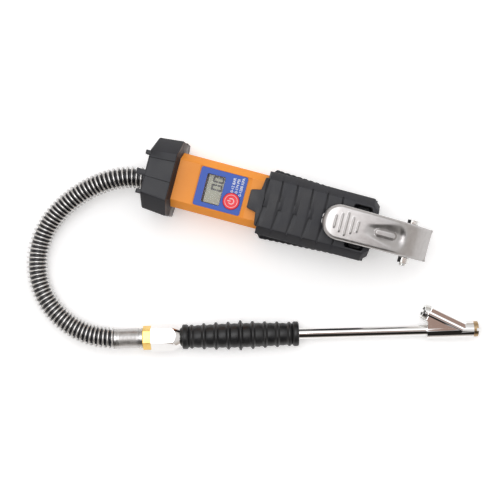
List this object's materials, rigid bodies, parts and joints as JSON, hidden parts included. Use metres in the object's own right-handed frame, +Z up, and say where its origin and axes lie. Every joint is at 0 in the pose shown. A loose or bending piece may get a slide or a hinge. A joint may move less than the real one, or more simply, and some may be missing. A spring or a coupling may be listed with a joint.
{
  "type": "tyre inflator with gauge",
  "caption": "Hand-held tyre inflator: lever-operated body with digital gauge, spring-guarded hose and lance with dual-foot chuck.",
  "frame": {"origin": "on the bench, under the middle of the box round the handle and lance (the free hose left out)", "axes": "+X along the handle from the gauge to the air inlet, +Z up out of the gauge's face, the tool lying on its back"},
  "size_m": [0.3808, 0.1818, 0.0676],
  "materials": {
    "bumper_rubber": "satin moulded rubber",
    "boot_rubber": "satin moulded rubber",
    "orange_case": "fine moulded, low gloss",
    "dark_steel": "black oxide",
    "cell_wrap": "printed wrap",
    "contact_steel": "bright spring steel",
    "board_green": "solder mask",
    "lcd_glass": "reflective grey-green display",
    "clear_window": "polished clear",
    "blue_label": "satin printed film",
    "red_button": "satin",
    "black_plastic": "matt",
    "sensor_steel": "satin",
    "seal_rubber": "moulded",
    "cast_alloy": "cast and machined",
    "brass": "turned",
    "stem_steel": "ground",
    "lever_alloy": "satin shot-blasted casting",
    "zinc_steel": "bright zinc plate",
    "hose_rubber": "smooth",
    "guard_steel": "drawn wire",
    "ferrule_steel": "turned, satin",
    "chrome": "polished plate",
    "grip_rubber": "satin moulded rubber"
  },
  "bodies": {
    "handle": {"air_hose": "hose_rubber", "air_tube": "brass", "angled_collar": "brass", "angled_seal": "seal_rubber", "angled_spring": "contact_steel", "batteries": "cell_wrap", "battery_contacts": "contact_steel", "battery_cover": "orange_case", "battery_cover_screw": "dark_steel", "board_screws": "dark_steel", "case_screws": "dark_steel", "chamber_plugs": "brass", "chuck_body": "chrome", "circuit_board": "board_green", "coupling_washer": "seal_rubber", "deflate_spring": "contact_steel", "front_bumper": "bumper_rubber", "front_shell": "orange_case", "grip_boot": "boot_rubber", "hex_coupling": "chrome", "hose_ferrule": "ferrule_steel", "hose_insert": "brass", "hose_tail": "brass", "inflate_spring": "contact_steel", "inlet_filter": "contact_steel", "label_panel": "blue_label", "lance_grip": "grip_rubber", "lance_tube": "chrome", "lcd_module": "lcd_glass", "lcd_window": "clear_window", "outlet_fitting": "brass", "pivot_bolt": "zinc_steel", "pivot_nut": "zinc_steel", "pressure_sensor": "sensor_steel", "rear_shell": "orange_case", "sensor_seal": "seal_rubber", "spring_guard": "guard_steel", "stem_glands": "brass", "straight_collar": "brass", "straight_seal": "seal_rubber", "straight_spring": "contact_steel", "tact_switch": "black_plastic", "tail_ferrule": "ferrule_steel", "valve_body": "cast_alloy"},
    "lever": {"lever": "lever_alloy"},
    "inflate_valve": {"inflate_stem": "stem_steel", "inflate_seal": "seal_rubber"},
    "deflate_valve": {"deflate_stem": "stem_steel", "deflate_seal": "seal_rubber"},
    "button": {"mode_button": "red_button"},
    "straight_check": {"straight_poppet": "stem_steel"},
    "angled_check": {"angled_poppet": "stem_steel"}
  },
  "joints": [
    {"name": "lever_hinge", "type": "hinge", "parent": "handle", "child": "lever", "pos_m": [0.07006, 0.05881, 0.043], "axis": [0, -1, 0], "range_deg": [0, 5], "stiffness_Nm_per_rad": 3, "springref_deg": -5.73},
    {"name": "inflate_stem_slide", "type": "slide", "parent": "handle", "child": "inflate_valve", "axis": [0, 0, -1], "range_m": [0, 0.0038], "deforming": ["inflate_spring"]},
    {"name": "deflate_stem_slide", "type": "slide", "parent": "handle", "child": "deflate_valve", "axis": [0, 0, -1], "range_m": [0, 0.0038], "deforming": ["deflate_spring"]},
    {"name": "button_slide", "type": "slide", "parent": "handle", "child": "button", "axis": [0, 0, -1], "range_m": [0, 0.0005], "stiffness_N_per_m": 600, "springref_m": -0.001},
    {"name": "straight_poppet_slide", "type": "slide", "parent": "handle", "child": "straight_check", "axis": [-0.9595, -0.2806, 0.0265], "range_m": [0, 0.002], "stiffness_N_per_m": 500, "springref_m": -0.002, "deforming": ["straight_spring"]},
    {"name": "angled_poppet_slide", "type": "slide", "parent": "handle", "child": "angled_check", "axis": [0.9817, -0.1892, -0.0236], "range_m": [0, 0.002], "stiffness_N_per_m": 500, "springref_m": -0.002, "deforming": ["angled_spring"]}
  ],
  "couplings": [
    {"joint": "inflate_stem_slide", "follows": "lever_hinge", "m_per_rad": 0.0416},
    {"joint": "deflate_stem_slide", "follows": "lever_hinge", "m_per_rad": 0.0416}
  ]
}
